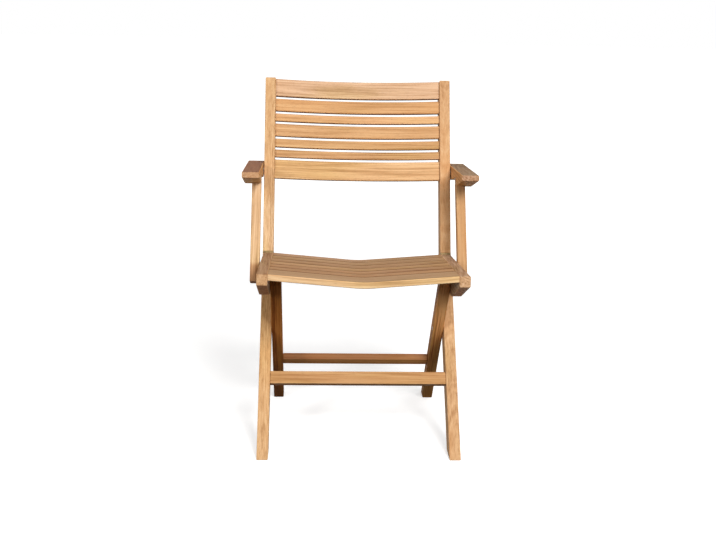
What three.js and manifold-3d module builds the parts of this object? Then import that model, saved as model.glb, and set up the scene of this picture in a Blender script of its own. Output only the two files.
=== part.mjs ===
// A folding garden armchair in teak: two bent frames that run from the front feet to the top of the back,
// rear legs that cross them, a slatted seat hinged in front of the frames, and arms that follow the seat.
// Millimetres. X is to the sitter's left and right, Y runs from front to back and Z is up.
import * as THREE from 'three';
import { mergeVertices } from 'three/addons/utils/BufferGeometryUtils.js';
import Module from 'manifold-3d';

const wasm = await Module();
wasm.setup();

// Driving sizes of the whole chair
const frameHalfWidth = 252;
const bendDepth = 359;
const bendHeight = 437;
const topDepth = 548;
const topHeight = 870;
const seatBelowBend = 12.5;
const seatFall = THREE.MathUtils.degToRad(7.5);

// Sections of the timber
const stileThickness = 28;
const stileDepth = 45;
const legThickness = 27;
const legDepth = 34;
const railThickness = 26;
const armWidth = 44;
const postThickness = 24;
const postDepth = 26;
const edgeRound = 1.5;

// Fits between the pieces
const jointGap = 0.3;
const slideGap = 1;
const sideGap = 2.5;
const boltClearance = 0.35;
const cutOverrun = 4;
const blindWall = 6;

// Hardware
const boltRadius = 3;
const boltHeadRadius = 7;
const boltHeadHeight = 3;
const boltHole = boltRadius + boltClearance;
const headHole = boltHeadRadius + boltClearance;
const headCover = 0.5;
const headSink = headCover + boltHeadHeight + jointGap;
const socketRadius = 2.4;
const socketDepth = 1.6;
const socketSides = 6;
const hingeLeaf = 2;
const hingeLeafLength = 34;
const knuckleRadius = 2.4;
const hingePinRadius = 1.2;
const knuckleRise = 2;
const knuckleCount = 3;
const roundSteps = 20;

const teak = { color: 0xc99a62, roughness: 0.62, metalness: 0 };
const teakShade = { color: 0xb78650, roughness: 0.66, metalness: 0 };
const steel = { color: 0xb9bbbd, roughness: 0.35, metalness: 1 };
const brass = { color: 0x7d6438, roughness: 0.5, metalness: 1 };

const chair = new THREE.Group();
chair.name = 'folding_armchair';

// Small vector helpers in the side plane, where x is the chair's Y and y is its Z
const at = (y, z) => new THREE.Vector2(y, z);
const heading = (angle) => at(Math.cos(angle), Math.sin(angle));
const level = at(1, 0);
const turned = (v) => at(-v.y, v.x);
const shifted = (p, direction, distance) => p.clone().addScaledVector(direction, distance);

function meeting(p, direction, q, along) {
  const cross = direction.x * along.y - direction.y * along.x;
  const t = ((q.x - p.x) * along.y - (q.y - p.y) * along.x) / cross;
  return shifted(p, direction, t);
}

function arcPoints(centre, radius, from, to, steps) {
  const points = [];
  for (let i = 0; i <= steps; i += 1) {
    const angle = from + ((to - from) * i) / steps;
    points.push(shifted(centre, heading(angle), radius));
  }
  return points;
}

// Extrusion of a closed outline with its edges eased by a small bevel
function eased(outline, length, ease) {
  const shape = new THREE.Shape(outline);
  return new THREE.ExtrudeGeometry(shape, {
    depth: length - 2 * ease,
    bevelEnabled: ease > 0,
    bevelThickness: ease,
    bevelSize: ease,
    bevelOffset: -ease,
    bevelSegments: 1,
  }).translate(0, 0, ease);
}

// A board seen from the side: its outline in Y and Z, and its two faces in X
function sideBoard(outline, low, high, ease = edgeRound) {
  const placed = new THREE.Matrix4().makeBasis(
    new THREE.Vector3(0, 1, 0),
    new THREE.Vector3(0, 0, 1),
    new THREE.Vector3(1, 0, 0),
  );
  return eased(outline, high - low, ease).applyMatrix4(placed).translate(low, 0, 0);
}

// A round bar along X
function crossBar(centre, radius, low, high) {
  const bar = new THREE.CylinderGeometry(radius, radius, high - low, roundSteps);
  return bar.rotateZ(-Math.PI / 2).translate((low + high) / 2, centre.x, centre.y);
}

function toSolid(geometry) {
  const bare = geometry.clone();
  bare.deleteAttribute('normal');
  bare.deleteAttribute('uv');
  const merged = mergeVertices(bare);
  const corners = [];
  for (let i = 0; i < merged.index.count; i += 3) {
    const [a, b, c] = [0, 1, 2].map((k) => merged.index.getX(i + k));
    // A triangle that has closed to a line, as beside a lathe's axis, bounds nothing
    if (a !== b && b !== c && c !== a) {
      corners.push(a, b, c);
    }
  }
  return new wasm.Manifold(new wasm.Mesh({
    numProp: 3,
    vertProperties: new Float32Array(merged.attributes.position.array),
    triVerts: new Uint32Array(corners),
  }));
}

function toGeometry(solid) {
  const mesh = solid.getMesh();
  const geometry = new THREE.BufferGeometry();
  geometry.setAttribute('position', new THREE.BufferAttribute(mesh.vertProperties, 3));
  geometry.setIndex(new THREE.BufferAttribute(mesh.triVerts, 1));
  const flat = geometry.toNonIndexed();
  flat.computeVertexNormals();
  return flat;
}

function cut(geometry, tools) {
  let solid = toSolid(geometry);
  for (const tool of tools) {
    solid = solid.subtract(toSolid(tool));
  }
  return toGeometry(solid);
}

function join(geometries) {
  let solid = toSolid(geometries[0]);
  for (const other of geometries.slice(1)) {
    solid = solid.add(toSolid(other));
  }
  return toGeometry(solid);
}

function addPiece(name, geometry, look) {
  const mesh = new THREE.Mesh(geometry, new THREE.MeshStandardMaterial(look));
  mesh.name = name;
  chair.add(mesh);
  return mesh;
}

// Most pieces come in pairs: a right one at +X, and a left one mirrored from it
function mirrored(geometry) {
  const flipped = geometry.index ? geometry.toNonIndexed() : geometry.clone();
  const position = flipped.attributes.position;
  for (let i = 0; i < position.count; i += 3) {
    const a = new THREE.Vector3().fromBufferAttribute(position, i);
    const b = new THREE.Vector3().fromBufferAttribute(position, i + 1);
    const c = new THREE.Vector3().fromBufferAttribute(position, i + 2);
    position.setXYZ(i, -a.x, a.y, a.z);
    position.setXYZ(i + 1, -c.x, c.y, c.z);
    position.setXYZ(i + 2, -b.x, b.y, b.z);
  }
  flipped.computeVertexNormals();
  return flipped;
}

function addPair(name, geometry, look) {
  addPiece(`right_${name}`, geometry, look);
  addPiece(`left_${name}`, mirrored(geometry), look);
}

// The side of the frame: one bent board from the front foot to the top of the back
const foot = at(0, 0);
const bend = at(bendDepth, bendHeight);
const top = at(topDepth, topHeight);
const lowerRun = bend.clone().sub(foot).normalize();
const upperRun = top.clone().sub(bend).normalize();
const lowerBack = turned(lowerRun).negate();
const upperBack = turned(upperRun).negate();
const rearTop = shifted(top, upperBack, stileDepth);
const rearBend = meeting(shifted(foot, lowerBack, stileDepth), lowerRun, rearTop, upperRun);
const rearFoot = meeting(shifted(foot, lowerBack, stileDepth), lowerRun, foot, level);
const stileInner = frameHalfWidth - stileThickness;
const blindEnd = stileInner + blindWall;
const lowerMiddle = shifted(foot, lowerBack, stileDepth / 2);

// The rear leg: a straight board that crosses the frame on its inner side
const rearFootDepth = 381;
const legLean = THREE.MathUtils.degToRad(121.6);
const legRun = heading(legLean);
const legFoot = at(rearFootDepth, 0);
const legBack = turned(legRun).negate();
const legMiddle = shifted(legFoot, legBack, legDepth / 2);
const legOuter = stileInner - slideGap;
const legInner = legOuter - legThickness;
const crossPivot = meeting(lowerMiddle, lowerRun, legMiddle, legRun);

// The seat rail: its top falls towards the back, and its end meets the frame's front face
const railRun = at(Math.cos(seatFall), -Math.sin(seatFall));
const railDown = turned(railRun).negate();
const railLength = 356.4;
const railEndPlane = shifted(foot, lowerBack, -2 * hingeLeaf - 3 * jointGap);
const railTopEnd = meeting(railEndPlane, lowerRun, shifted(bend, lowerRun, -seatBelowBend), lowerBack);
const railNose = shifted(railTopEnd, railRun, -railLength);
const railNoseDepth = 26;
const railDepth = 72;
const railBevelLength = 132;
const railEndDepth = 52;
const railFullLength = 150;
const railInner = stileInner - jointGap;
const railOuter = railInner + railThickness;

// The seat's hinge lies on the top inner corner between the rail's end and the frame
const hingePlane = shifted(foot, lowerBack, -knuckleRadius - jointGap);
const seatPivot = meeting(shifted(railNose, railDown, -knuckleRise), railRun, hingePlane, lowerRun);

// The top of the rear leg carries a pin that slides in a groove of the rail
const pinDrop = 44;
const legPin = meeting(legMiddle, legRun, shifted(railNose, railDown, pinDrop), railRun);
const grooveDepth = 10;
const foldAngle = THREE.MathUtils.degToRad(104);
const legFoldShare = 0.56;

// The arm, and the post between the arm and the rail: with the seat and frame they make a parallelogram
const armPivotRise = 219;
const armPivotInset = 17.8;
const armFall = THREE.MathUtils.degToRad(4.3);
const armLength = 274;
const armNoseDepth = 14;
const armDepth = 43;
const armEndDepth = 36;
const armPivotReach = 218;
const armPivotDrop = 19;
const postPivotReach = 114;
const postPivotDrop = 33;
const postOverhang = 46;
const armRun = at(Math.cos(armFall), -Math.sin(armFall));
const armDown = turned(armRun).negate();
const armPivot = shifted(shifted(bend, upperRun, armPivotRise), upperBack, armPivotInset);
const armNose = shifted(shifted(armPivot, armRun, -armPivotReach), armDown, -armPivotDrop);
const armPlace = (reach, drop) => shifted(shifted(armNose, armRun, reach), armDown, drop);
const postTopPivot = armPlace(postPivotReach, postPivotDrop);
const armLink = postTopPivot.clone().sub(armPivot);
const postLowPivot = seatPivot.clone().add(armLink);
const postRun = postTopPivot.clone().sub(postLowPivot).normalize();
const postFront = turned(postRun);
const armInner = frameHalfWidth + sideGap;
const armOuter = armInner + armWidth;
const postOuter = armInner + postThickness;

function turnedAbout(point, pivot, angle) {
  return point.clone().rotateAround(pivot, -angle);
}

// The groove follows the pin from the open chair to the folded one
const grooveSteps = 12;

function grooveTools() {
  const path = [];
  for (let i = 0; i <= grooveSteps; i += 1) {
    const angle = (foldAngle * i) / grooveSteps;
    const pin = turnedAbout(legPin, crossPivot, angle * legFoldShare);
    path.push(turnedAbout(pin, seatPivot, -angle));
  }
  const low = railInner - cutOverrun;
  const high = railInner + grooveDepth;
  const tools = path.map((p) => crossBar(p, boltHole, low, high));
  for (let i = 0; i < grooveSteps; i += 1) {
    const run = path[i + 1].clone().sub(path[i]).normalize();
    const side = turned(run).multiplyScalar(boltHole);
    const corners = [
      path[i].clone().add(side),
      path[i].clone().sub(side),
      path[i + 1].clone().sub(side),
      path[i + 1].clone().add(side),
    ];
    tools.push(sideBoard(corners, low, high, 0));
  }
  return tools;
}

function makeStile() {
  const outline = [foot, rearFoot, rearBend, rearTop, top, bend];
  const board = sideBoard(outline, stileInner, frameHalfWidth);
  return cut(board, [
    crossBar(crossPivot, boltHole, stileInner - cutOverrun, frameHalfWidth + cutOverrun),
    crossBar(armPivot, boltHole, blindEnd, frameHalfWidth + cutOverrun),
    crossBar(crossPivot, headHole, frameHalfWidth - headSink, frameHalfWidth + cutOverrun),
  ]);
}

function makeLeg() {
  const start = Math.atan2(legBack.y, legBack.x);
  const end = arcPoints(legPin, legDepth / 2, start, start + Math.PI, roundSteps / 2);
  const legHeel = meeting(shifted(legFoot, legBack, legDepth), legRun, foot, level);
  const outline = [legFoot, legHeel, ...end];
  const board = sideBoard(outline, legInner, legOuter);
  return cut(board, [crossPivot, legPin].flatMap((pivot) => [
    crossBar(pivot, boltHole, legInner - cutOverrun, legOuter + cutOverrun),
    crossBar(pivot, headHole, legInner - cutOverrun, legInner + headSink),
  ]));
}

function makeRail() {
  const place = (reach, drop) => shifted(shifted(railNose, railRun, reach), railDown, drop);
  const lowEnd = meeting(place(0, railEndDepth), railRun, railEndPlane, lowerRun);
  const outline = [
    railNose,
    place(0, railNoseDepth),
    place(railBevelLength, railDepth),
    place(railBevelLength + railFullLength, railDepth),
    lowEnd,
    railTopEnd,
  ];
  const board = sideBoard(outline, railInner, railOuter);
  return cut(board, [
    ...grooveTools(),
    crossBar(postLowPivot, boltHole, railInner + blindWall, railOuter + cutOverrun),
  ]);
}

function makePost() {
  const start = Math.atan2(-postFront.y, -postFront.x);
  const head = arcPoints(postTopPivot, postDepth / 2, start, start + Math.PI, roundSteps / 2);
  const lowEnd = shifted(postLowPivot, postRun, -postOverhang);
  const outline = [
    shifted(lowEnd, postFront, postDepth / 2),
    shifted(lowEnd, postFront, -postDepth / 2),
    ...head,
  ];
  const board = sideBoard(outline, armInner, postOuter);
  return cut(board, [
    crossBar(postTopPivot, boltHole, armInner - cutOverrun, postOuter + cutOverrun),
    crossBar(postLowPivot, boltHole, armInner - cutOverrun, postOuter + cutOverrun),
    crossBar(postTopPivot, headHole, armInner - cutOverrun, armInner + headSink),
    crossBar(postLowPivot, headHole, postOuter - headSink, postOuter + cutOverrun),
  ]);
}

// The recess under the arm that the post's head turns in, and that the post lies in when it is folded
function makeArm() {
  const outline = [
    armNose,
    armPlace(0, armNoseDepth),
    armPlace(postPivotReach, armDepth),
    armPlace(postPivotReach + postDepth, armDepth),
    armPlace(armLength, armEndDepth),
    armPlace(armLength, 0),
  ];
  const board = sideBoard(outline, armInner, armOuter);
  const radius = postDepth / 2 + slideGap;
  const down = postRun.clone().negate();
  const folded = down.clone().rotateAround(at(0, 0), foldAngle);
  const above = turned(folded);
  const low = armInner - cutOverrun;
  const high = postOuter + slideGap / 2;
  const recess = [
    shifted(postTopPivot, postFront, radius),
    shifted(shifted(postTopPivot, postFront, radius), down, armLength),
    shifted(shifted(postTopPivot, above, radius), folded, armLength),
    shifted(postTopPivot, above, radius),
  ];
  return cut(board, [
    sideBoard(recess, low, high, 0),
    crossBar(postTopPivot, radius, low, high),
    ...[armPivot, postTopPivot].flatMap((pivot) => [
      crossBar(pivot, boltHole, low, armOuter + cutOverrun),
      crossBar(pivot, headHole, armOuter - headSink, armOuter + cutOverrun),
    ]),
  ]);
}

// The two ends of a pivot bolt, as half sections from the axis outwards: a low round nut and a low round
// head. Both are sunk in the timber, so that nothing catches clothes and the chair folds flat
function nutSection(low) {
  const start = low - jointGap;
  return [
    at(0, start - boltHeadHeight),
    at(boltHeadRadius - boltHeadHeight / 2, start - boltHeadHeight),
    at(boltHeadRadius, start - boltHeadHeight / 2),
    at(boltHeadRadius, start),
    at(boltRadius, start),
  ];
}

function headSection(high) {
  const start = high + jointGap;
  return [
    at(boltRadius, start),
    at(boltHeadRadius, start),
    at(boltHeadRadius, start + boltHeadHeight / 2),
    at(boltHeadRadius - boltHeadHeight / 2, start + boltHeadHeight),
    at(0, start + boltHeadHeight),
  ];
}

// A plain end, as in a blind hole
const plainStart = (low) => [at(0, low), at(boltRadius, low)];
const plainEnd = (high) => [at(boltRadius, high), at(0, high)];

function roundAlongX(centre, profile) {
  return new THREE.LatheGeometry(profile, roundSteps).rotateZ(-Math.PI / 2).translate(0, centre.x, centre.y);
}

function washer(centre, low, high) {
  return roundAlongX(centre, [
    at(boltHole, low),
    at(boltHeadRadius, low),
    at(boltHeadRadius, high),
    at(boltHole, high),
    at(boltHole, low),
  ]);
}

addPair('stile', makeStile(), teak);
addPair('rear_leg', makeLeg(), teakShade);
addPair('seat_rail', makeRail(), teak);
addPair('arm_post', makePost(), teak);
addPair('arm', makeArm(), teak);

// A bolt whose head lies in a counterbore of the face at high, with a hexagon socket for the key
function headedBolt(centre, start, high) {
  const bolt = roundAlongX(centre, [...start, ...headSection(high - headSink)]);
  const socket = new THREE.CylinderGeometry(socketRadius, socketRadius, 2 * socketDepth, socketSides);
  const face = high - headCover;
  return cut(bolt, [socket.rotateZ(-Math.PI / 2).translate(face, centre.x, centre.y)]);
}

addPair('cross_bolt', headedBolt(crossPivot, nutSection(legInner + headSink), frameHalfWidth), steel);
addPair('arm_bolt', headedBolt(armPivot, plainStart(blindEnd + jointGap), armOuter), steel);
addPair('arm_washer', washer(armPivot, frameHalfWidth + jointGap, armInner - jointGap), steel);
addPair('post_top_bolt', headedBolt(postTopPivot, nutSection(armInner + headSink), armOuter), steel);
const postBoltStart = railInner + blindWall + jointGap;
addPair('post_low_bolt', headedBolt(postLowPivot, plainStart(postBoltStart), postOuter), steel);
addPair('post_washer', washer(postLowPivot, railOuter + jointGap, armInner - jointGap), steel);

// The sliding pin at the top of each rear leg has a nut inside and a plain end in the rail's groove
const pinTip = railInner + grooveDepth - slideGap;
addPair('slide_pin', roundAlongX(legPin, [...nutSection(legInner + headSink), ...plainEnd(pinTip)]), steel);

// The back: slats bowed to the rear, set between the frames from the top down
const backSlatWidths = [48, 34, 21, 34.5, 23, 20.5, 51.5];
const backSlatGap = 7.3;
const backTopDrop = 1;
const backSlatThickness = 13;
const backBow = 18;
const backInset = 8;
const bowSteps = 16;

function bowOutline(halfSpan, bow, thickness) {
  const radius = (halfSpan * halfSpan + bow * bow) / (2 * bow);
  const half = Math.asin(halfSpan / radius);
  const front = [];
  const rear = [];
  for (let i = 0; i <= bowSteps; i += 1) {
    const angle = -half + (2 * half * i) / bowSteps;
    const across = halfSpan * Math.sin(angle) / Math.sin(half);
    const depth = radius * (Math.cos(angle) - Math.cos(half));
    front.push(at(across, depth));
    rear.push(at(across, depth + thickness));
  }
  return [...front, ...rear.reverse()];
}

function addBackSlats() {
  const halfSpan = stileInner - jointGap;
  const outline = bowOutline(halfSpan, backBow, backSlatThickness);
  let drop = backTopDrop;
  backSlatWidths.forEach((width, index) => {
    const corner = shifted(shifted(top, upperRun, -drop - width), upperBack, backInset);
    const placed = new THREE.Matrix4().makeBasis(
      new THREE.Vector3(1, 0, 0),
      new THREE.Vector3(0, upperBack.x, upperBack.y),
      new THREE.Vector3(0, upperRun.x, upperRun.y),
    ).setPosition(0, corner.x, corner.y);
    const slat = eased(outline, width, edgeRound);
    // The basis is left-handed, so the slat is mirrored to keep its faces out
    addPiece(`back_slat_${index + 1}`, mirrored(slat.applyMatrix4(placed)), teak);
    drop += width + backSlatGap;
  });
}
addBackSlats();

// The seat: slats that dip to a soft valley in the middle, set between the rails from the back to the front
const seatSlatWidths = [46, 44, 44, 38, 38, 38, 74];
const seatSlatGap = 6;
const seatDip = 17;
const seatSlatThickness = 15;
const valleyHalfWidth = 24;
const valleySteps = 8;

function dipOutline(halfSpan) {
  const slope = seatDip / (halfSpan - valleyHalfWidth / 2);
  const half = Math.atan(slope);
  const radius = valleyHalfWidth / Math.sin(half);
  const base = -slope * (halfSpan - valleyHalfWidth);
  const upper = [at(halfSpan, 0)];
  for (let i = 0; i <= valleySteps; i += 1) {
    const angle = half - (2 * half * i) / valleySteps;
    upper.push(at(radius * Math.sin(angle), base + radius * (Math.cos(half) - Math.cos(angle))));
  }
  upper.push(at(-halfSpan, 0));
  const lower = upper.map((p) => at(p.x, p.y - seatSlatThickness)).reverse();
  return [...upper, ...lower];
}

function addSeatSlats() {
  const halfSpan = railInner - jointGap;
  const outline = dipOutline(halfSpan);
  const timber = seatSlatWidths.reduce((sum, width) => sum + width, 0);
  const used = timber + seatSlatGap * (seatSlatWidths.length - 1);
  let reach = used + jointGap;
  seatSlatWidths.forEach((width, index) => {
    const corner = shifted(railNose, railRun, reach);
    const placed = new THREE.Matrix4().makeBasis(
      new THREE.Vector3(1, 0, 0),
      new THREE.Vector3(0, -railDown.x, -railDown.y),
      new THREE.Vector3(0, -railRun.x, -railRun.y),
    ).setPosition(0, corner.x, corner.y);
    addPiece(`seat_slat_${index + 1}`, eased(outline, width, edgeRound).applyMatrix4(placed), teak);
    reach -= width + seatSlatGap;
  });
}
addSeatSlats();

// Stretchers between the frames and between the rear legs
const frontStretcherDrop = 142;
const frontStretcherHeight = 32;
const frontStretcherThickness = 18;
const rearStretcherDrop = 135;
const rearStretcherHeight = 20;
const rearStretcherThickness = 20;

function stretcher(pivot, run, back, drop, height, thickness, offset, halfSpan) {
  const middle = shifted(shifted(pivot, run, -drop), back, offset);
  const low = shifted(middle, run, -height / 2);
  const outline = [
    low,
    shifted(low, back, thickness),
    shifted(shifted(low, back, thickness), run, height),
    shifted(low, run, height),
  ];
  return sideBoard(outline, -halfSpan, halfSpan);
}
const frontOffset = slideGap - stileDepth / 2;
addPiece('front_stretcher', stretcher(crossPivot, lowerRun, lowerBack, frontStretcherDrop,
  frontStretcherHeight, frontStretcherThickness, frontOffset, stileInner - jointGap), teak);
addPiece('rear_stretcher', stretcher(crossPivot, legRun, legBack, rearStretcherDrop,
  rearStretcherHeight, rearStretcherThickness, -rearStretcherThickness / 2,
  legInner - jointGap), teakShade);

// The seat's hinges: one leaf on the frame, one on the end of the rail, and a pin through their knuckles
function hingeLeafPlate(offset) {
  const start = shifted(seatPivot, lowerBack, offset);
  const outline = [
    start,
    shifted(start, lowerBack, hingeLeaf),
    shifted(shifted(start, lowerBack, hingeLeaf), lowerRun, -hingeLeafLength),
    shifted(start, lowerRun, -hingeLeafLength),
  ];
  return sideBoard(outline.reverse(), railInner, railOuter, 0);
}

function hingePieces() {
  const knuckle = railThickness / knuckleCount;
  const firstEnd = railInner + knuckle;
  const secondEnd = railOuter - knuckle;
  const boreRadius = hingePinRadius + boltClearance;
  const bore = crossBar(seatPivot, boreRadius, railInner - cutOverrun, railOuter + cutOverrun);
  const room = knuckleRadius + jointGap;
  const middle = crossBar(seatPivot, knuckleRadius, firstEnd + jointGap, secondEnd - jointGap);
  const first = crossBar(seatPivot, knuckleRadius, railInner, firstEnd);
  const last = crossBar(seatPivot, knuckleRadius, secondEnd, railOuter);
  const seatPlate = cut(hingeLeafPlate(knuckleRadius - 2 * hingeLeaf - jointGap), [
    crossBar(seatPivot, room, railInner - cutOverrun, firstEnd + jointGap / 2),
    crossBar(seatPivot, room, secondEnd - jointGap / 2, railOuter + cutOverrun),
  ]);
  const framePlate = cut(hingeLeafPlate(knuckleRadius - hingeLeaf), [
    crossBar(seatPivot, room, firstEnd, secondEnd),
  ]);
  return {
    seatLeaf: cut(join([seatPlate, middle]), [bore]),
    frameLeaf: cut(join([framePlate, first, last]), [bore]),
    pin: crossBar(seatPivot, hingePinRadius, railInner - slideGap, railOuter + slideGap),
  };
}
const hinge = hingePieces();
addPair('hinge_frame_leaf', hinge.frameLeaf, brass);
addPair('hinge_seat_leaf', hinge.seatLeaf, brass);
addPair('hinge_pin', hinge.pin, brass);

// The origin is on the ground under the middle of the chair
const extent = new THREE.Box3().setFromObject(chair);
chair.position.y = -(extent.min.y + extent.max.y) / 2;
chair.updateMatrixWorld(true);

export default chair;
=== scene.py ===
"""Looks of a folding teak armchair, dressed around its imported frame: teak boards, each with its
own grain, steel pivots, brass hinges, a white studio, and a camera at the photograph's angle.
All lengths are in metres."""

import math
import random

import bpy
import numpy as np
from mathutils import Matrix, Vector


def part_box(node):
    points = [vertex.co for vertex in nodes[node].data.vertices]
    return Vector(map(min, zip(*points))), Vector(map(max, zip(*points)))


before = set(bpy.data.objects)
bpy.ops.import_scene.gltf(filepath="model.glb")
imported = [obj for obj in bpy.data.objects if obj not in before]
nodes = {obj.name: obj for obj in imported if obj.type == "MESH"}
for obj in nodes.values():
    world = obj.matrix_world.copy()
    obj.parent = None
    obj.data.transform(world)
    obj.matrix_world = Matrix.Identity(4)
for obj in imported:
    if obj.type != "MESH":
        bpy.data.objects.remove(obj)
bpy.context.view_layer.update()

# The boards and the metal pieces, in groups that share a finish
SIDES = ("right", "left")
STEEL_PIECES = (
    "cross_bolt",
    "arm_bolt",
    "arm_washer",
    "post_top_bolt",
    "post_low_bolt",
    "post_washer",
    "slide_pin",
)
BRASS_PIECES = ("hinge_frame_leaf", "hinge_seat_leaf", "hinge_pin")
BACK_SLATS = [name for name in sorted(nodes) if name.startswith("back_slat")]
SEAT_SLATS = [name for name in sorted(nodes) if name.startswith("seat_slat")]
FRAME_BOARDS = [f"{side}_{part}" for side in SIDES for part in ("stile", "arm_post")]
FRAME_BOARDS.append("front_stretcher")
ARM_BOARDS = [f"{side}_arm" for side in SIDES]
RAIL_BOARDS = [f"{side}_seat_rail" for side in SIDES]
LEG_BOARDS = [f"{side}_rear_leg" for side in SIDES] + ["rear_stretcher"]

# Seat slats with painted shade on their long sides, where they face the gaps between them
GAPPED_SLATS = SEAT_SLATS[:-1]

UP = Vector((0.0, 0.0, 1.0))

# The value that Blender's noises swing about
NOISE_MIDDLE = 0.5

# Where a ramp's stops are added, before each is moved to its own place
SPARE_STOP = 0.5


class Graph:
    """A node tree that is written as nested calls: each adds a node, and most return its output."""

    def __init__(self, tree):
        self.tree = tree

    def add(self, kind, inputs=None, **settings):
        made = self.tree.nodes.new(kind)
        for name, value in settings.items():
            setattr(made, name, value)
        for key, value in (inputs or {}).items():
            self.plug(made.inputs[key], value)
        return made

    def plug(self, socket, value):
        if isinstance(value, bpy.types.NodeSocket):
            self.tree.links.new(value, socket)
        else:
            socket.default_value = value

    def math(self, operation, first, second=0.0, clamp=False):
        inputs = {0: first, 1: second}
        return self.add("ShaderNodeMath", inputs, operation=operation, use_clamp=clamp).outputs[0]

    def vector(self, operation, first, second):
        made = self.add("ShaderNodeVectorMath", {0: first, 1: second}, operation=operation)
        return made.outputs["Value" if operation == "DOT_PRODUCT" else "Vector"]

    def length(self, value):
        return self.add("ShaderNodeVectorMath", {0: value}, operation="LENGTH").outputs["Value"]

    def scale(self, value, factor):
        inputs = {0: value, "Scale": factor}
        return self.add("ShaderNodeVectorMath", inputs, operation="SCALE").outputs["Vector"]

    def noise(self, place, detail, roughness):
        inputs = {"Vector": place, "Scale": 1.0, "Detail": detail, "Roughness": roughness}
        return self.add("ShaderNodeTexNoise", inputs).outputs

    def noise_along(self, distance, detail):
        inputs = {"W": distance, "Scale": 1.0, "Detail": detail}
        return self.add("ShaderNodeTexNoise", inputs, noise_dimensions="1D").outputs["Fac"]

    def band(self, value, start, full):
        """0 at the start, 1 at the full value, and a soft step between them."""
        inputs = {"Value": value, "From Min": start, "From Max": full}
        made = self.add("ShaderNodeMapRange", inputs, interpolation_type="SMOOTHSTEP")
        return made.outputs["Result"]

    def ramp(self, factor, stops):
        made = self.add("ShaderNodeValToRGB", {"Fac": factor})
        elements = made.color_ramp.elements
        while len(elements) < len(stops):
            elements.new(SPARE_STOP)
        for element, (position, colour) in zip(elements, stops):
            element.position = position
            element.color = opaque(colour)
        return made.outputs["Color"]

    def mix(self, factor, first, second, blend="MIX"):
        made = self.add("ShaderNodeMix", data_type="RGBA", blend_type=blend)
        for name, value in (("Factor_Float", factor), ("A_Color", first), ("B_Color", second)):
            self.plug(next(s for s in made.inputs if s.identifier == name), value)
        return next(s for s in made.outputs if s.identifier == "Result_Color")

    def tint(self, factor, colour, share):
        """The colour where the factor is 0, and the share of it where the factor is 1."""
        return self.mix(factor, colour, self.mix(1.0, colour, share, "MULTIPLY"))


def blank_graph(owner):
    """The emptied node tree of a material or a world, ready to be written."""
    owner.use_nodes = True
    owner.node_tree.nodes.clear()
    return Graph(owner.node_tree)


def opaque(colour):
    return (*colour, 1.0)


def grey(level):
    return (level, level, level, 1.0)


# Noises in a board: repeats in a metre along it and across it both ways, detail, roughness
WARP = (Vector((1.6, 9.0, 9.0)), 2.0, 0.5)
CLOUD = (Vector((3.2, 15.0, 15.0)), 3.0, 0.5)
STREAK = (Vector((5.0, 210.0, 210.0)), 3.0, 0.6)
FIBRE = (Vector((11.0, 640.0, 640.0)), 2.0, 0.6)
PORE = (Vector((70.0, 1500.0, 1500.0)), 1.0, 0.5)

# Growth rings: repeats in a metre outward from the pith, and detail. Then how far WARP moves them
BROAD_RINGS = (62.0, 1.5)
FINE_RINGS = (330.0, 2.0)
WARP_REACH = Vector((0.0, 0.016, 0.016))

# The teak's own colours, from its dark late wood to its pale early wood, and its usual place there
TEAK_STOPS = (
    (0.20, (0.300, 0.140, 0.055)),
    (0.40, (0.480, 0.255, 0.112)),
    (0.55, (0.610, 0.350, 0.168)),
    (0.72, (0.700, 0.435, 0.222)),
    (0.90, (0.770, 0.520, 0.290)),
)
MIDDLE_TONE = 0.58

# How far each feature swings the tone about that place
TONE_SHARES = {"broad": 0.42, "fine": 0.36, "streak": 0.86, "fibre": 0.34, "cloud": 0.38}

# Where the clouds warm the wood and where they yellow it, and how its pores darken it
WARM_BAND = (0.48, 0.78)
WARM_SHARE = 0.50
WARM_CAST = (0.62, 0.30, 0.105)
YELLOW_BAND = (0.50, 0.26)
YELLOW_CAST = (0.98, 1.02, 0.90)
PORE_BAND = (0.60, 0.72)
PORE_SHARE = 0.34
PORE_SHADE = 0.45

# The surface: its roughness and what adds to it, and the shares of its relief
BASE_ROUGHNESS = 0.50
STREAK_ROUGHNESS = 0.18
PORE_ROUGHNESS = 0.12
FIBRE_RELIEF = 0.35
RING_RELIEF = 0.25
PORE_RELIEF = 0.6

# What the grain of a board is worked out from, and what it gives
GRAIN_SOCKETS = (
    ("INPUT", "NodeSocketVector", ("Place", "Pith", "Lean", "Seed")),
    ("INPUT", "NodeSocketColor", ("Tone", "EdgeTone", "EndTone", "UpTone", "UnderTone")),
    ("INPUT", "NodeSocketFloat", ("Edge", "End", "Up", "Under", "Contrast")),
    ("OUTPUT", "NodeSocketColor", ("Color",)),
    ("OUTPUT", "NodeSocketFloat", ("Roughness", "Height")),
)


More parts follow.
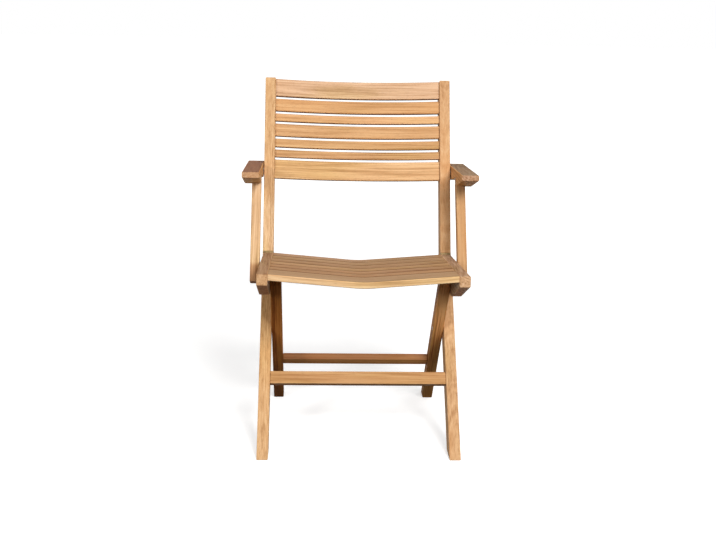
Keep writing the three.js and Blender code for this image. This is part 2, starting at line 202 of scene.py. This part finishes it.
def teak_group():
    """Grain of one board, from its own coordinates: X along the board, Y and Z across it."""
    group = bpy.data.node_groups.new("teak_grain", "ShaderNodeTree")
    for way, kind, names in GRAIN_SOCKETS:
        for name in names:
            group.interface.new_socket(name, in_out=way, socket_type=kind)
    g = Graph(group)
    given = g.add("NodeGroupInput").outputs

    def noise(rate, *texture):
        spread = g.vector("ADD", g.vector("MULTIPLY", given["Place"], rate), given["Seed"])
        return g.noise(spread, *texture)

    # The rings are shells round a pith that lies outside the board and leans along it
    along = g.vector("DOT_PRODUCT", given["Place"], Vector((1.0, 0.0, 0.0)))
    warp = g.vector("SUBTRACT", noise(*WARP)["Color"], Vector((NOISE_MIDDLE,) * 3))
    warped = g.vector("ADD", given["Place"], g.vector("MULTIPLY", warp, WARP_REACH))
    leaning = g.vector("ADD", warped, g.scale(given["Lean"], along))
    from_pith = g.vector("SUBTRACT", leaning, given["Pith"])
    distance = g.length(g.vector("MULTIPLY", from_pith, Vector((0.0, 1.0, 1.0))))

    def rings(rate, detail):
        return g.noise_along(g.math("MULTIPLY", distance, rate), detail)

    features = {"broad": rings(*BROAD_RINGS), "fine": rings(*FINE_RINGS)}
    for name, settings in (("streak", STREAK), ("fibre", FIBRE), ("cloud", CLOUD)):
        features[name] = noise(*settings)["Fac"]
    pores = g.band(noise(*PORE)["Fac"], *PORE_BAND)

    swing = 0.0
    for name, share in TONE_SHARES.items():
        centred = g.math("SUBTRACT", features[name], NOISE_MIDDLE)
        swing = g.math("ADD", g.math("MULTIPLY", centred, share), swing)
    swing = g.math("MULTIPLY", swing, given["Contrast"])
    wood = g.ramp(g.math("ADD", swing, MIDDLE_TONE), TEAK_STOPS)
    warmth = g.math("MULTIPLY", g.band(features["cloud"], *WARM_BAND), WARM_SHARE)
    wood = g.mix(warmth, wood, opaque(WARM_CAST))
    wood = g.tint(g.band(features["cloud"], *YELLOW_BAND), wood, opaque(YELLOW_CAST))
    wood = g.tint(g.math("MULTIPLY", pores, PORE_SHARE), wood, grey(PORE_SHADE))
    # Tones of the edges, ends, tops and undersides, which carry painted shade and painted light
    # besides weathering and wear
    for face in ("Edge", "End", "Up", "Under"):
        wood = g.tint(given[face], wood, given[f"{face}Tone"])
    wood = g.mix(1.0, wood, given["Tone"], "MULTIPLY")

    rough = g.math("MULTIPLY", features["streak"], STREAK_ROUGHNESS)
    rough = g.math("ADD", rough, BASE_ROUGHNESS)
    rough = g.math("ADD", g.math("MULTIPLY", pores, PORE_ROUGHNESS), rough, clamp=True)
    fibres = g.math("MULTIPLY", features["fibre"], FIBRE_RELIEF)
    height = g.math("ADD", fibres, g.math("MULTIPLY", features["fine"], RING_RELIEF))
    height = g.math("SUBTRACT", height, g.math("MULTIPLY", pores, PORE_RELIEF))
    g.add("NodeGroupOutput", {"Color": wood, "Roughness": rough, "Height": height})
    return group


# Faces that look up, as shares of the wood's own colour: mostly painted shade, with some
# weathering; the rear stretcher's lighter top is painted light
TOP_SHADE_AND_WEATHER = (0.73, 0.69, 0.72)
TOPS = {
    "left_arm": (0.44, 0.37, 0.45),
    "right_arm": (0.44, 0.50, 0.64),
    "left_stile": (0.56, 0.57, 0.60),
    "right_stile": (0.56, 0.57, 0.60),
    "seat_slat_7": (0.63, 0.60, 0.61),
    "rear_stretcher": (0.93, 0.92, 1.60),
}

# The same for the faces that look down, for the ends, and for the edges of the boards. On the faces
# that look down this is painted shade, and on the arms and the seat rails lighter, painted light;
# the edges are lighter where worn, and on the gapped seat slats they take painted shade
PAINTED_UNDER_SHADE = (0.64, 0.56, 0.48)
UNDERS = {
    "left_arm": (1.20, 1.45, 1.70),
    "right_arm": (1.20, 1.35, 1.50),
    "left_seat_rail": (1.15, 0.90, 0.80),
    "right_seat_rail": (1.05, 0.82, 0.72),
}
END_CAST = (0.95, 0.93, 0.94)
ENDS = {"left_arm": (0.82, 0.89, 1.15), "right_arm": (0.72, 0.77, 1.08)}
WORN_EDGE = (1.10, 1.08, 1.05)
# Painted shade on the chamfers and long sides of the gapped seat slats, where the gaps between them
# lie in shade
PAINTED_GAP_SHADE = (0.34, 0.29, 0.26)

# Stretches of a board made darker or lighter: the share of its colour, the height in the open chair
# at which the stretch lies, and how far off it starts to show and where it shows in full. On the
# rear legs and the rear stretcher they are painted shade, darker towards the floor, with the right
# leg lighter again at its very foot; on the left arm post painted shadow at its lower end; on the
# left stile a lighter, bluer stretch at mid height and a slightly darker, more orange one lower
# down
FOOT_SHADE_REACH = (0.24, 0.07)
STRETCHES = {
    "left_rear_leg": (((0.29, 0.27, 0.23), 0.0, *FOOT_SHADE_REACH),),
    "right_rear_leg": (
        ((0.38, 0.36, 0.28), 0.0, 0.295, 0.185),
        ((1.17, 1.22, 1.35), 0.0, 0.085, 0.030),
    ),
    "rear_stretcher": (((0.35, 0.31, 0.28), 0.0, *FOOT_SHADE_REACH),),
    "left_arm_post": (((0.72, 0.60, 0.54), 0.380, 0.058, 0.046),),
    "left_stile": (
        ((1.10, 1.19, 1.33), 0.490, 0.085, 0.045),
        ((0.96, 0.92, 0.80), 0.260, 0.130, 0.050),
    ),
}

# Boards whose grain shows more than the rest
CONTRASTS = {
    "left_rear_leg": 2.2,
    "right_rear_leg": 1.9,
    "right_arm": 1.5,
    "left_seat_rail": 1.4,
    "right_seat_rail": 1.6,
}

# Dot product of a face's normal and an axis at which the face's tone starts, and where it is full
CHAMFER_LIMITS = (0.93, 0.80)
END_LIMITS = (0.55, 0.85)
UP_LIMITS = (0.76, 0.96)
UNDER_LIMITS = (-0.59, -0.70)

# How round the boards' edges look, how deep the grain is, and how the wood shines
EDGE_RADIUS = 0.0016
EDGE_SAMPLES = 4
GRAIN_DEPTH = 0.00022
WOOD_IOR = 1.45
WOOD_SHINE = 0.06

# What the dice decide for each board: whether it is quarter-sawn, how far off its pith lies and
# how far to the side, how the pith leans, where the noises start, and a slight shade and cast
DICE_SEED = 7
QUARTER_SHARE = 0.4
PITH_REACH = (0.05, 0.09)
PITH_SWING = 0.5
LEAN_SWINGS = (0.014, 0.018)
SEED_REACH = 60.0
SHADE_REACH = (0.96, 1.04)
CAST_SWING = 0.025

# Corners that are the same to this many decimal places count once
CORNER_PLACES = 5


def corners_of(node):
    return np.array([vertex.co for vertex in node.data.vertices])


def board_axes(node):
    """The middle of a board and its own axes, longest first, from where its corners lie."""
    corners = corners_of(node)
    middle = (corners.min(0) + corners.max(0)) / 2
    corners = np.unique(np.round(corners, CORNER_PLACES), axis=0)
    _, axes = np.linalg.eigh(np.cov((corners - corners.mean(0)).T))
    along, across, through = (Vector(axes[:, i]).normalized() for i in (2, 1, 0))
    if along.dot(Vector((1.0, 1.0, 1.0))) < 0:
        along = -along
    return Vector(middle), along, across, through


def bow_of(node, middle, along, through):
    """The square term of a slat's curve, so that its grain can follow the bend."""
    places = corners_of(node) - np.array(middle)
    return float(np.polyfit(places @ np.array(along), places @ np.array(through), 2)[0])


def board_place(g, name, given, middle, axes):
    """Coordinates in a board that run along its grain, and so follow the bend of a slat."""
    offset = g.vector("SUBTRACT", given, middle)
    along, across, through = (g.vector("DOT_PRODUCT", offset, axis) for axis in axes)
    if name in BACK_SLATS + SEAT_SLATS:
        bow = bow_of(nodes[name], middle, axes[0], axes[2])
        bend = g.math("MULTIPLY", g.math("MULTIPLY", along, along), bow)
        through = g.math("SUBTRACT", through, bend)
    inputs = {"X": along, "Y": across, "Z": through}
    return g.add("ShaderNodeCombineXYZ", inputs).outputs["Vector"]


def board_faces(g, name, normal, axes):
    """Masks of a board's edges, ends, upper and lower faces, and the tone that each takes."""
    along, across, through = (
        g.math("ABSOLUTE", g.vector("DOT_PRODUCT", normal, axis)) for axis in axes
    )
    # A chamfer faces neither of the board's flat ways. On a gapped slat the sides count with it,
    # and take the painted gap shade
    gapped = name in GAPPED_SLATS
    flat = through if gapped else g.math("MAXIMUM", across, through)
    end = g.band(along, *END_LIMITS)
    rise = g.vector("DOT_PRODUCT", normal, UP)
    return {
        "Edge": g.math("SUBTRACT", g.band(flat, *CHAMFER_LIMITS), end, clamp=True),
        "EdgeTone": opaque(PAINTED_GAP_SHADE if gapped else WORN_EDGE),
        "End": end,
        "EndTone": opaque(ENDS.get(name, END_CAST)),
        # The tops take painted shade, with some weathering
        "Up": g.band(rise, *UP_LIMITS),
        "UpTone": opaque(TOPS.get(name, TOP_SHADE_AND_WEATHER)),
        # The undersides take painted shade, and painted light on the arms and the seat rails
        "Under": g.band(rise, *UNDER_LIMITS),
        "UnderTone": opaque(UNDERS.get(name, PAINTED_UNDER_SHADE)),
    }


def board_growth(dice, tone):
    """What differs from board to board. The pith lies off the wide face of a flat-sawn board, which
    shows arches, and off the narrow side of a quarter-sawn one, which shows straight lines."""
    quarter_sawn = dice.random() < QUARTER_SHARE
    reach = dice.uniform(*PITH_REACH)
    angle = dice.uniform(-PITH_SWING, PITH_SWING) + (0.0 if quarter_sawn else math.pi / 2)
    lean = [dice.uniform(-swing, swing) for swing in LEAN_SWINGS]
    seed = [dice.uniform(0.0, SEED_REACH) for _ in range(3)]
    shade = dice.uniform(*SHADE_REACH)
    cast = dice.uniform(-CAST_SWING, CAST_SWING)
    red, green, blue = tone
    return {
        "Pith": Vector((0.0, reach * math.cos(angle), reach * math.sin(angle))),
        "Lean": Vector((0.0, *lean)),
        "Seed": Vector(seed),
        "Tone": (red * shade * (1 + cast), green * shade, blue * shade * (1 - cast), 1.0),
    }


def teak_material(name, group, dice, tone):
    """Teak of one board, with its own grain, tones and stretches."""
    material = bpy.data.materials.new(f"teak_{name}")
    g = blank_graph(material)
    coordinates = g.add("ShaderNodeTexCoord").outputs
    middle, *axes = board_axes(nodes[name])
    inputs = {
        "Place": board_place(g, name, coordinates["Object"], middle, axes),
        "Contrast": CONTRASTS.get(name, 1.0),
        **board_growth(dice, tone),
        **board_faces(g, name, coordinates["Normal"], axes),
    }
    grain = g.add("ShaderNodeGroup", inputs, node_tree=group).outputs
    colour = grain["Color"]
    # Painted shade towards the feet and at the left arm post's lower end, and stretches of tone on
    # the left stile
    for share, level, start, full in STRETCHES.get(name, ()):
        height = g.vector("DOT_PRODUCT", coordinates["Object"], UP)
        away = g.math("ABSOLUTE", g.math("SUBTRACT", height, level))
        colour = g.tint(g.band(away, start, full), colour, opaque(share))
    rounded = g.add("ShaderNodeBevel", {"Radius": EDGE_RADIUS}, samples=EDGE_SAMPLES)
    relief = {
        "Height": grain["Height"],
        "Normal": rounded.outputs["Normal"],
        "Strength": 1.0,
        "Distance": GRAIN_DEPTH,
    }
    surface = {
        "Base Color": colour,
        "Roughness": grain["Roughness"],
        "Normal": g.add("ShaderNodeBump", relief).outputs["Normal"],
        "IOR": WOOD_IOR,
        "Specular IOR Level": WOOD_SHINE,
    }
    shader = g.add("ShaderNodeBsdfPrincipled", surface)
    g.add("ShaderNodeOutputMaterial", {"Surface": shader.outputs["BSDF"]})
    return material


# Colours of the metals, from their stains to their clean places
STEEL_STOPS = (
    (0.30, (0.36, 0.34, 0.31)),
    (0.55, (0.55, 0.54, 0.52)),
    (0.75, (0.66, 0.66, 0.65)),
)
BRASS_STOPS = (
    (0.30, (0.15, 0.10, 0.045)),
    (0.55, (0.27, 0.19, 0.09)),
    (0.75, (0.38, 0.28, 0.14)),
)
STEEL_ROUGHNESS = 0.24
BRASS_ROUGHNESS = 0.38

# Repeats of their scratches and stains in a metre, detail and roughness, as for the wood
SCRATCH = (Vector((300.0, 2600.0, 2600.0)), 3.0, 0.6)
STAIN = (Vector((160.0, 160.0, 160.0)), 3.0, 0.5)
SCRATCH_ROUGHNESS = 0.25
SCRATCH_STRENGTH = 0.6
SCRATCH_DEPTH = 0.00008


def metal_material(name, stops, roughness):
    """Metal with fine scratches along X, and stains that darken it."""
    material = bpy.data.materials.new(name)
    g = blank_graph(material)
    place = g.add("ShaderNodeTexCoord").outputs["Object"]

    def noise(rate, *texture):
        return g.noise(g.vector("MULTIPLY", place, rate), *texture)["Fac"]

    scratches = noise(*SCRATCH)
    relief = {"Height": scratches, "Strength": SCRATCH_STRENGTH, "Distance": SCRATCH_DEPTH}
    surface = {
        "Base Color": g.ramp(noise(*STAIN), stops),
        "Roughness": g.math("ADD", g.math("MULTIPLY", scratches, SCRATCH_ROUGHNESS), roughness),
        "Normal": g.add("ShaderNodeBump", relief).outputs["Normal"],
        "Metallic": 1.0,
    }
    shader = g.add("ShaderNodeBsdfPrincipled", surface)
    g.add("ShaderNodeOutputMaterial", {"Surface": shader.outputs["BSDF"]})
    return material


# Tone of each family of boards, as shares of red, green and blue. Beside the frame, the arms are a
# little redder, the rails, the back and the seat a little cooler, and the legs much darker and
# redder, which is painted shade: the legs stand under the seat
FAMILIES = (
    (FRAME_BOARDS, "teak_frame", (1.02, 1.00, 0.97)),
    (ARM_BOARDS, "teak_frame", (1.06, 0.99, 0.88)),
    (RAIL_BOARDS, "teak_frame", (1.02, 1.03, 1.04)),
    (BACK_SLATS, "teak_back", (1.04, 1.04, 1.10)),
    (SEAT_SLATS, "teak_seat", (1.00, 1.04, 1.05)),
    (LEG_BOARDS, "teak_legs", (0.74, 0.51, 0.29)),
)

# Boards that differ from their family, as shares of the family's red, green and blue. The right
# rear leg's share is painted light, for the light from the left that falls on it, and the rear
# stretcher's takes back most of the legs' painted shade
ALIKE = (1.0, 1.0, 1.0)
BOARD_SHARES = {
    "back_slat_1": (1.05, 1.14, 1.36),
    "back_slat_2": (0.97, 0.92, 0.82),
    "back_slat_3": (1.00, 0.98, 0.94),
    "back_slat_4": (0.99, 0.95, 0.87),
    "back_slat_5": (0.95, 0.93, 0.83),
    "back_slat_6": (0.96, 0.93, 0.88),
    "back_slat_7": (1.04, 1.10, 1.11),
    "seat_slat_1": (1.04, 1.02, 1.04),
    "seat_slat_2": (1.14, 1.16, 1.14),
    "seat_slat_3": (0.98, 0.96, 0.94),
    "seat_slat_4": (1.12, 1.14, 1.12),
    "seat_slat_5": (1.00, 0.98, 0.98),
    "seat_slat_6": (0.95, 0.93, 0.92),
    "seat_slat_7": (1.10, 1.18, 1.30),
    "left_stile": (1.05, 1.12, 1.20),
    "right_stile": (0.99, 1.00, 1.06),
    "front_stretcher": (0.84, 0.77, 0.70),
    "rear_stretcher": (1.62, 1.90, 2.35),
    "left_rear_leg": (1.02, 0.95, 0.80),
    "right_rear_leg": (1.85, 2.15, 2.80),
    "left_seat_rail": (0.93, 0.94, 0.97),
    "right_seat_rail": (0.99, 1.04, 1.16),
    "right_arm_post": (0.83, 0.82, 0.83),
    "left_arm_post": (1.11, 1.27, 1.54),
}


def dress(name, material):
    slots = nodes[name].data.materials
    slots.clear()
    slots.append(material)


def dress_boards():
    group = teak_group()
    dice = random.Random(DICE_SEED)
    for names, slot, family in FAMILIES:
        for name in names:
            shares = BOARD_SHARES.get(name, ALIKE)
            tone = [level * share for level, share in zip(family, shares)]
            dress(name, teak_material(name, group, dice, tone))


def dress_metal():
    steel = metal_material("brushed_steel", STEEL_STOPS, STEEL_ROUGHNESS)
    brass = metal_material("aged_brass", BRASS_STOPS, BRASS_ROUGHNESS)
    for side in SIDES:
        for part in STEEL_PIECES:
            dress(f"{side}_{part}", steel)
        for part in BRASS_PIECES:
            dress(f"{side}_{part}", brass)


# The camera stands where the photograph's did, with the same lens
FRONT_FEET = Vector((0.0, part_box("right_stile")[0].y, 0.0))
CAMERA_PLACE = FRONT_FEET + Vector((-0.124, -2.220, 1.150))
CAMERA_YAW = math.radians(-2.83)
CAMERA_PITCH = math.radians(16.58)
CAMERA_ROLL = math.radians(1.42)
SENSOR_WIDTH = 36.0
PHOTO_WIDTH = 716
FOCAL_PIXELS = 1000


def add_camera():
    level_right = Vector((math.cos(CAMERA_YAW), math.sin(CAMERA_YAW), 0.0))
    level_forward = UP.cross(level_right)
    forward = math.cos(CAMERA_PITCH) * level_forward - math.sin(CAMERA_PITCH) * UP
    level_up = level_right.cross(forward)
    right = math.cos(CAMERA_ROLL) * level_right + math.sin(CAMERA_ROLL) * level_up
    up = right.cross(forward)
    lens = bpy.data.cameras.new("photo_camera")
    lens.sensor_width = SENSOR_WIDTH
    lens.lens = FOCAL_PIXELS / PHOTO_WIDTH * SENSOR_WIDTH
    camera = bpy.data.objects.new("photo_camera", lens)
    turn = Matrix((right, up, -forward)).transposed().to_4x4()
    camera.matrix_world = Matrix.Translation(CAMERA_PLACE) @ turn
    bpy.context.scene.collection.objects.link(camera)
    bpy.context.scene.camera = camera


# The studio: a wide soft key light from the front right, weaker ones from the left and from the
# back, and a pale floor that runs into a white backdrop. The floor's own light rises with the
# distance from the chair, over LIFT_REACH, and so keeps the chair's shadow
FLOOR_SIZE = 30.0
FLOOR_DROP = 0.0004
FLOOR_WHITE = 0.80
FLOOR_BOUNCE = 0.02
NEAR_LIFT = 0.53
FAR_LIFT = 0.90
LIFT_REACH = (0.7, 2.6)
SKY_LEVEL = 0.31
LOOK_AT = Vector((0.0, 0.0, 0.45))

# Name, azimuth, elevation, distance, size, power and colour of each light
LIGHTS = (
    ("key", 20.5, 37.0, 4.2, 1.7, 153.0, (1.0, 0.985, 0.965)),
    ("side", -38.0, 20.0, 4.2, 0.7, 50.0, (1.0, 0.985, 0.97)),
    ("back", 128.0, 9.0, 4.5, 2.0, 42.0, (1.0, 0.985, 0.97)),
)


def add_light(name, azimuth, elevation, distance, size, power, colour):
    """Azimuth 0 is in front of the chair, and it grows to the picture's right, in degrees."""
    turn, rise = math.radians(azimuth), math.radians(elevation)
    level = Vector((math.sin(turn), -math.cos(turn), 0.0))
    toward = math.cos(rise) * level + math.sin(rise) * UP
    lamp = bpy.data.lights.new(name, "AREA")
    lamp.shape = "DISK"
    lamp.size = size
    lamp.energy = power
    lamp.color = colour
    light = bpy.data.objects.new(name, lamp)
    light.location = LOOK_AT + toward * distance
    light.rotation_mode = "QUATERNION"
    light.rotation_quaternion = (-toward).to_track_quat("-Z", "Y")
    bpy.context.scene.collection.objects.link(light)


def seen_ray(g):
    """1 for the rays that show a surface: from the camera, or off something glossy or clear."""
    path = g.add("ShaderNodeLightPath").outputs
    seen = g.math("MAXIMUM", path["Is Camera Ray"], path["Is Glossy Ray"])
    return g.math("MAXIMUM", seen, path["Is Transmission Ray"])


def add_floor():
    half = FLOOR_SIZE / 2
    corners = [(x, y, 0.0) for x, y in ((-half, -half), (half, -half), (half, half), (-half, half))]
    mesh = bpy.data.meshes.new("floor")
    mesh.from_pydata(corners, [], [range(len(corners))])
    floor = bpy.data.objects.new("floor", mesh)
    floor.location.z = -FLOOR_DROP
    bpy.context.scene.collection.objects.link(floor)
    material = bpy.data.materials.new("floor_white")
    mesh.materials.append(material)
    g = blank_graph(material)
    bounce = g.add("ShaderNodeBsdfDiffuse", {"Color": grey(FLOOR_BOUNCE)}).outputs[0]
    paint = g.add("ShaderNodeBsdfDiffuse", {"Color": grey(FLOOR_WHITE)}).outputs[0]
    away = g.band(g.length(g.add("ShaderNodeTexCoord").outputs["Object"]), *LIFT_REACH)
    strength = g.math("ADD", g.math("MULTIPLY", away, FAR_LIFT - NEAR_LIFT), NEAR_LIFT)
    lift = g.add("ShaderNodeEmission", {"Color": grey(1.0), "Strength": strength}).outputs[0]
    white = g.add("ShaderNodeAddShader", {0: paint, 1: lift}).outputs[0]
    both = g.add("ShaderNodeMixShader", {0: seen_ray(g), 1: bounce, 2: white}).outputs[0]
    g.add("ShaderNodeOutputMaterial", {"Surface": both})


def add_backdrop():
    world = bpy.data.worlds.new("studio")
    bpy.context.scene.world = world
    g = blank_graph(world)
    dim, white = (
        g.add("ShaderNodeBackground", {"Color": grey(1.0), "Strength": strength}).outputs[0]
        for strength in (SKY_LEVEL, 1.0)
    )
    both = g.add("ShaderNodeMixShader", {0: seen_ray(g), 1: dim, 2: white}).outputs[0]
    g.add("ShaderNodeOutputWorld", {"Surface": both})


dress_boards()
dress_metal()
add_camera()
for light in LIGHTS:
    add_light(*light)
add_floor()
add_backdrop()
bpy.context.scene.view_settings.view_transform = "Standard"
